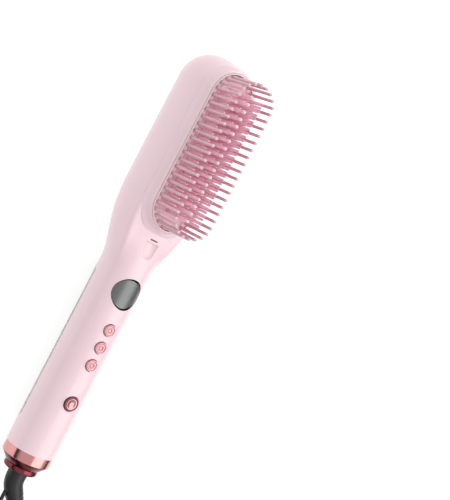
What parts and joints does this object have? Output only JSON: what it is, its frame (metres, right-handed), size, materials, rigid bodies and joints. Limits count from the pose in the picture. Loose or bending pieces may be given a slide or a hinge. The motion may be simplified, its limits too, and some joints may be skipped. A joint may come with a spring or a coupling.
{
  "type": "steam hair straightener brush",
  "caption": "Steam hair straightener brush: round handle with buttons, display and lift-off water tank, wide heated bristle head and a swivel mains cord.",
  "frame": {"origin": "on the resting plane, under the middle of the brush's length, cord left out", "axes": "+X along the handle towards the head, +Z the way the bristles point, the brush lying on its back"},
  "size_m": [0.4288, 0.0892, 0.0596],
  "materials": {
    "body": "satin moulded ABS, pale pink",
    "comb": "moulded nylon, pink",
    "bristle": "moulded nylon, pale grey-pink",
    "heated": "ceramic coating on aluminium, deep pink",
    "rose_gold": "plated rose gold, turned",
    "button": "plated rose gold plastic",
    "lens": "smoked acrylic",
    "smoke": "smoked transparent plastic",
    "dark": "dark smoked plastic",
    "insulator": "moulded heat-resisting plastic",
    "metal": "die-cast aluminium",
    "steel": "plated steel",
    "board": "glass-fibre board, green",
    "rubber": "silicone, translucent grey",
    "cord": "soft PVC, black",
    "brass": "plated brass"
  },
  "bodies": {
    "root": {"front_housing": "body", "rear_housing": "body", "comb_frame": "body", "bristle_carrier": "comb", "outer_bristles": "bristle", "comb_plate": "heated", "heating_teeth": "heated", "tooth_caps": "bristle", "heater_tray": "insulator", "plate_heaters": "metal", "steam_generator": "metal", "steam_duct": "insulator", "thermostat": "metal", "power_bezel": "rose_gold", "display_lens": "lens", "main_board": "board", "tact_switches": "insulator", "display_module": "insulator", "port_seal": "rubber", "port_fitting": "insulator", "water_pump": "insulator", "inlet_tube": "rubber", "outlet_tube": "rubber", "ion_generator": "insulator", "release_spring": "steel", "release_guide": "body", "end_cap": "rose_gold", "slip_ring_block": "insulator", "housing_screws": "steel"},
    "tank": {"tank_shell": "smoke", "tank_catch": "smoke", "tank_lid": "dark", "tank_plug": "rubber", "outlet_valve": "dark"},
    "release": {"tank_release": "button"},
    "power": {"power_button": "button"},
    "steam": {"steam_button": "button"},
    "heat_down": {"heat_down_button": "button"},
    "heat_up": {"heat_up_button": "button"},
    "swivel": {"swivel_bush": "insulator", "swivel_collar": "rose_gold", "cord_boot": "cord", "hanging_loop": "cord", "cord": "cord", "cord_coil": "cord", "coil_tie": "cord", "cord_tail": "cord", "plug_body": "cord", "plug_blades": "brass"}
  },
  "joints": [
    {"name": "power_press", "type": "slide", "parent": "root", "child": "power", "axis": [0, 0, -1], "range_m": [0, 0.0005], "stiffness_N_per_m": 2400},
    {"name": "steam_press", "type": "slide", "parent": "root", "child": "steam", "axis": [0, 0, -1], "range_m": [0, 0.0005], "stiffness_N_per_m": 2400},
    {"name": "heat_down_press", "type": "slide", "parent": "root", "child": "heat_down", "axis": [0, 0, -1], "range_m": [0, 0.0005], "stiffness_N_per_m": 2400},
    {"name": "heat_up_press", "type": "slide", "parent": "root", "child": "heat_up", "axis": [0, 0, -1], "range_m": [0, 0.0005], "stiffness_N_per_m": 2400},
    {"name": "release_press", "type": "slide", "parent": "root", "child": "release", "axis": [0, 0, 1], "range_m": [0, 0.0015], "stiffness_N_per_m": 1200, "deforming": ["release_spring"]},
    {"name": "tank_lift", "type": "slide", "parent": "root", "child": "tank", "axis": [0, 0, -1], "range_m": [0, 0.025]},
    {"name": "cord_swivel", "type": "hinge", "parent": "root", "child": "swivel", "pos_m": [-0.1425, 0, 0.0168], "axis": [1, 0, 0], "continuous": true}
  ]
}
